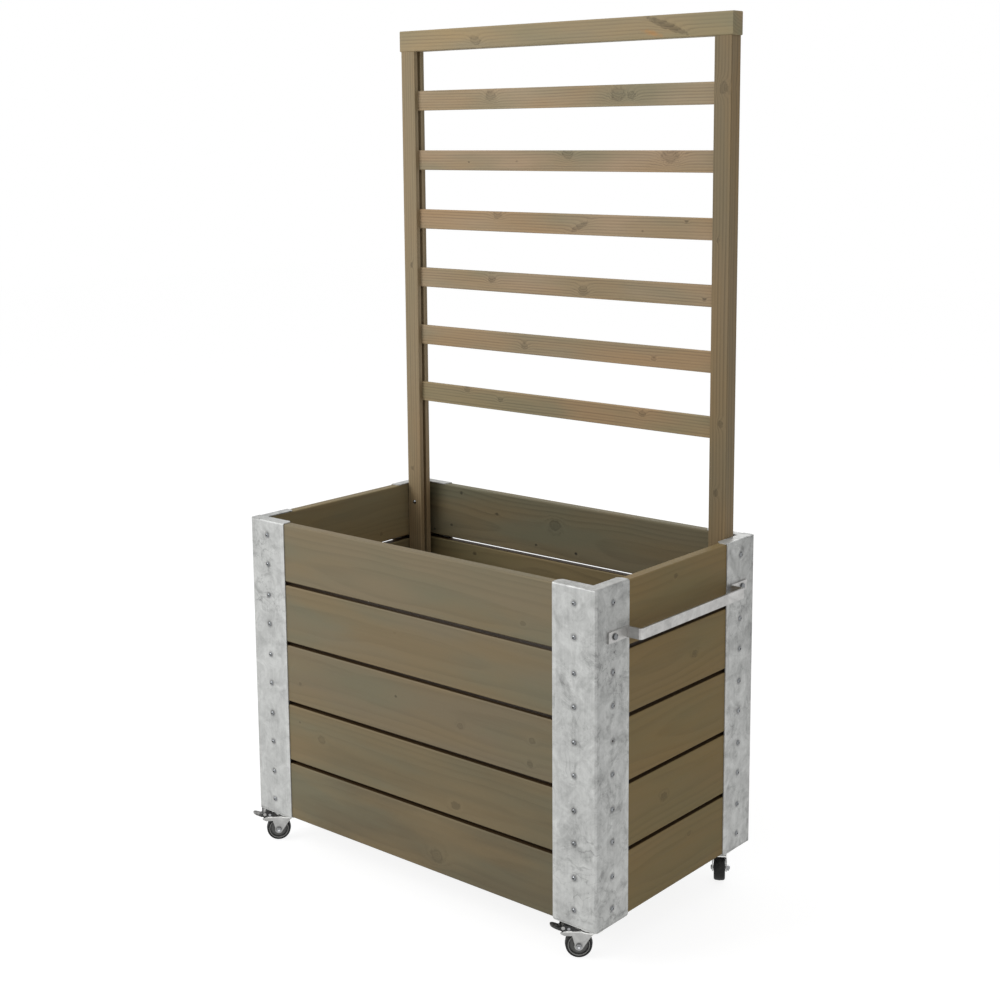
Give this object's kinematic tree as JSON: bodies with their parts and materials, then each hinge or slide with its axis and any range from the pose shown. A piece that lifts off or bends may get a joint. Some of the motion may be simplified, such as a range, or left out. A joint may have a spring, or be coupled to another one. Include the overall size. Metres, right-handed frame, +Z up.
{
  "type": "rolling planter",
  "caption": "Slatted timber trough planter with sheet-steel corner posts, a slatted trellis, a side handle and swivel casters with brake pedals.",
  "frame": {"origin": "middle of the whole footprint, on the floor under the wheels", "axes": "+X towards the end with the handle, +Y towards the trellis side, +Z up"},
  "size_m": [0.9192, 0.5238, 1.673],
  "materials": {
    "galvanised_sheet": "hot-dip galvanised, matt and cloudy",
    "handle_steel": "hot-dip galvanised flat bar",
    "caster_steel": "zinc-plated pressed steel",
    "bright_zinc": "bright zinc-plated",
    "wood_front": "impregnated and stained planed softwood, grey-brown",
    "wood_end": "impregnated and stained planed softwood, brown",
    "wood_wall": "impregnated and stained planed softwood, brown-grey",
    "wood_trellis": "impregnated and stained planed softwood, lighter",
    "hub_plastic": "moulded polypropylene",
    "tyre_rubber": "matt rubber",
    "pedal_black": "black pressed lever with a moulded tip"
  },
  "bodies": {
    "planter": {"corner_post_front_left": "galvanised_sheet", "corner_post_front_right": "galvanised_sheet", "corner_post_rear_left": "galvanised_sheet", "corner_post_rear_right": "galvanised_sheet", "front_plank_1": "wood_front", "front_plank_2": "wood_front", "front_plank_3": "wood_front", "front_plank_4": "wood_front", "front_plank_5": "wood_front", "rear_plank_1": "wood_wall", "rear_plank_2": "wood_wall", "rear_plank_3": "wood_wall", "rear_plank_4": "wood_wall", "rear_plank_5": "wood_wall", "left_plank_1": "wood_wall", "left_plank_2": "wood_wall", "left_plank_3": "wood_wall", "left_plank_4": "wood_wall", "left_plank_5": "wood_wall", "right_plank_1": "wood_end", "right_plank_2": "wood_end", "right_plank_3": "wood_end", "right_plank_4": "wood_end", "right_plank_5": "wood_end", "floor_bearers": "wood_wall", "floor_boards": "wood_wall", "screws_and_bolts": "bright_zinc", "handle_bar": "handle_steel", "trellis_upright_left": "wood_trellis", "trellis_upright_right": "wood_trellis", "trellis_top_rail": "wood_trellis", "trellis_slat_1": "wood_trellis", "trellis_slat_2": "wood_trellis", "trellis_slat_3": "wood_trellis", "trellis_slat_4": "wood_trellis", "trellis_slat_5": "wood_trellis", "trellis_slat_6": "wood_trellis", "swivel_balls": "bright_zinc", "front_left_swivel_head": "caster_steel", "front_right_swivel_head": "caster_steel", "rear_left_swivel_head": "caster_steel", "rear_right_swivel_head": "caster_steel"},
    "front_left_caster": {"front_left_fork": "caster_steel", "front_left_axle_pins": "bright_zinc"},
    "front_left_wheel": {"front_left_hub": "hub_plastic", "front_left_tyre": "tyre_rubber"},
    "front_left_brake": {"front_left_brake_pedal": "pedal_black"},
    "front_right_caster": {"front_right_fork": "caster_steel", "front_right_axle_pins": "bright_zinc"},
    "front_right_wheel": {"front_right_hub": "hub_plastic", "front_right_tyre": "tyre_rubber"},
    "front_right_brake": {"front_right_brake_pedal": "pedal_black"},
    "rear_left_caster": {"rear_left_fork": "caster_steel", "rear_left_axle": "bright_zinc"},
    "rear_left_wheel": {"rear_left_hub": "hub_plastic", "rear_left_tyre": "tyre_rubber"},
    "rear_right_caster": {"rear_right_fork": "caster_steel", "rear_right_axle": "bright_zinc"},
    "rear_right_wheel": {"rear_right_hub": "hub_plastic", "rear_right_tyre": "tyre_rubber"}
  },
  "joints": [
    {"name": "front_left_swivel", "type": "hinge", "parent": "planter", "child": "front_left_caster", "pos_m": [-0.40742, -0.20488, 0.062], "axis": [0, 0, 1], "continuous": true},
    {"name": "front_left_roll", "type": "hinge", "parent": "front_left_caster", "child": "front_left_wheel", "pos_m": [-0.42214, -0.22123, 0.025], "axis": [0.7431, -0.6691, 0], "continuous": true},
    {"name": "front_left_brake_press", "type": "hinge", "parent": "front_left_caster", "child": "front_left_brake", "pos_m": [-0.43418, -0.2346, 0.0596], "axis": [0.7431, -0.6691, 0], "range_deg": [0, 14]},
    {"name": "front_right_swivel", "type": "hinge", "parent": "planter", "child": "front_right_caster", "pos_m": [0.38458, -0.20488, 0.062], "axis": [0, 0, 1], "continuous": true},
    {"name": "front_right_roll", "type": "hinge", "parent": "front_right_caster", "child": "front_right_wheel", "pos_m": [0.36748, -0.21872, 0.025], "axis": [0.6293, -0.7771, 0], "continuous": true},
    {"name": "front_right_brake_press", "type": "hinge", "parent": "front_right_caster", "child": "front_right_brake", "pos_m": [0.3535, -0.23005, 0.0596], "axis": [0.6293, -0.7771, 0], "range_deg": [0, 14]},
    {"name": "rear_left_swivel", "type": "hinge", "parent": "planter", "child": "rear_left_caster", "pos_m": [-0.40742, 0.21712, 0.062], "axis": [0, 0, 1], "continuous": true},
    {"name": "rear_left_roll", "type": "hinge", "parent": "rear_left_caster", "child": "rear_left_wheel", "pos_m": [-0.42377, 0.23184, 0.025], "axis": [-0.6691, -0.7431, 0], "continuous": true},
    {"name": "rear_right_swivel", "type": "hinge", "parent": "planter", "child": "rear_right_caster", "pos_m": [0.38458, 0.21712, 0.062], "axis": [0, 0, 1], "continuous": true},
    {"name": "rear_right_roll", "type": "hinge", "parent": "rear_right_caster", "child": "rear_right_wheel", "pos_m": [0.39656, 0.19867, 0.025], "axis": [0.8387, 0.5446, 0], "continuous": true}
  ]
}
